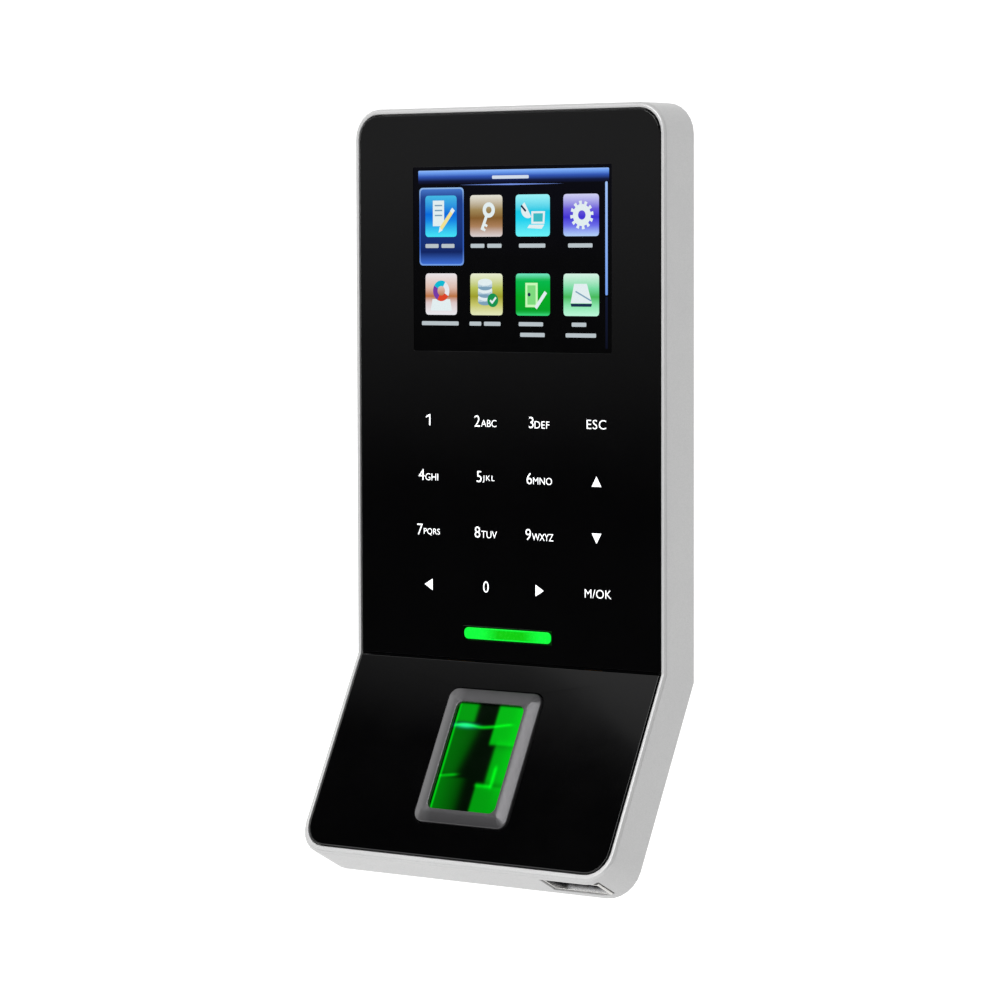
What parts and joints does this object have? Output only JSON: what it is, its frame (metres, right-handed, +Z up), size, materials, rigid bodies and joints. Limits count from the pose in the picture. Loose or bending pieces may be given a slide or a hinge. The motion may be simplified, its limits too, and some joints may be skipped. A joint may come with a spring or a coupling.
{
  "type": "fingerprint scanner terminal",
  "caption": "Slim wall terminal with a bent slab body, display, touch keypad, light bar, sloped fingerprint sensor, USB socket, rear cover and wall plate that it lifts off.",
  "frame": {"origin": "centre of the wall plate's back face, on the wall", "axes": "+Z up, +Y into the wall, +X to the right of a person facing the terminal, so the front faces -Y"},
  "size_m": [0.0786, 0.0392, 0.1561],
  "materials": {
    "satin_silver": "satin silver paint on a die-cast frame",
    "black_glass": "polished black-backed panel",
    "light_guide": "clear green light guide, lit",
    "bezel_grey": "fine matt moulded plastic",
    "sensor_glass": "polished prism glass lit green from below",
    "black_plastic": "fine textured moulded plastic",
    "circuit_board": "green solder mask",
    "chip_black": "moulded epoxy",
    "tinned_steel": "bright tinned sheet",
    "plated_steel": "zinc plated",
    "ivory_plastic": "natural nylon",
    "amber_film": "polyimide film over copper",
    "display_glass": "polished display glass"
  },
  "bodies": {
    "wall_mount": {"wall_plate": "plated_steel"},
    "terminal": {"battery_holder": "black_plastic", "board_screw_lower_left": "plated_steel", "board_screw_lower_right": "plated_steel", "board_screw_upper_left": "plated_steel", "board_screw_upper_right": "plated_steel", "capacitor_a": "tinned_steel", "capacitor_b": "tinned_steel", "card_antenna": "amber_film", "clock_battery": "tinned_steel", "cover_screw_foot_left": "plated_steel", "cover_screw_foot_right": "plated_steel", "cover_screw_lower_left": "plated_steel", "cover_screw_lower_right": "plated_steel", "cover_screw_upper_left": "plated_steel", "cover_screw_upper_right": "plated_steel", "data_header": "ivory_plastic", "display_backlight": "tinned_steel", "display_cell": "display_glass", "display_connector": "ivory_plastic", "display_ribbon": "amber_film", "housing": "satin_silver", "lock_relay": "amber_film", "lower_panel": "black_glass", "main_board": "circuit_board", "memory_chip": "chip_black", "network_header": "ivory_plastic", "network_transformer": "chip_black", "power_header": "ivory_plastic", "processor_shield": "tinned_steel", "rear_cover": "black_plastic", "reset_switch": "tinned_steel", "sensor_bezel": "bezel_grey", "sensor_board": "circuit_board", "sensor_connector": "ivory_plastic", "sensor_glass": "sensor_glass", "sensor_housing": "black_plastic", "sensor_lamp_lower": "ivory_plastic", "sensor_lamp_upper": "ivory_plastic", "sensor_lens": "chip_black", "sensor_ribbon": "amber_film", "speaker": "chip_black", "status_lamp_left": "ivory_plastic", "status_lamp_right": "ivory_plastic", "status_light_guide": "light_guide", "tamper_switch": "chip_black", "touch_board": "circuit_board", "upper_panel": "black_glass", "usb_board": "circuit_board", "usb_connector": "ivory_plastic", "usb_ribbon": "amber_film", "usb_shell": "tinned_steel", "usb_tongue": "chip_black", "wireless_antenna": "amber_film", "wireless_module": "tinned_steel"},
    "security_screw": {"security_screw": "plated_steel"},
    "tamper_plunger": {"tamper_plunger": "ivory_plastic"},
    "reset_button": {"reset_button": "chip_black"}
  },
  "joints": [
    {"name": "terminal_lift", "type": "slide", "parent": "wall_mount", "child": "terminal", "axis": [0, 0, 1], "range_m": [0, 0.007]},
    {"name": "security_screw_out", "type": "slide", "parent": "wall_mount", "child": "security_screw", "axis": [0, 0, -1], "range_m": [0, 0.01]},
    {"name": "tamper_plunger_press", "type": "slide", "parent": "terminal", "child": "tamper_plunger", "axis": [0, -1, 0], "range_m": [0, 0.0012], "stiffness_N_per_m": 150, "springref_m": -0.001},
    {"name": "reset_button_press", "type": "slide", "parent": "terminal", "child": "reset_button", "axis": [0, -1, 0], "range_m": [0, 0.0004], "stiffness_N_per_m": 1500, "springref_m": -0.0003}
  ]
}
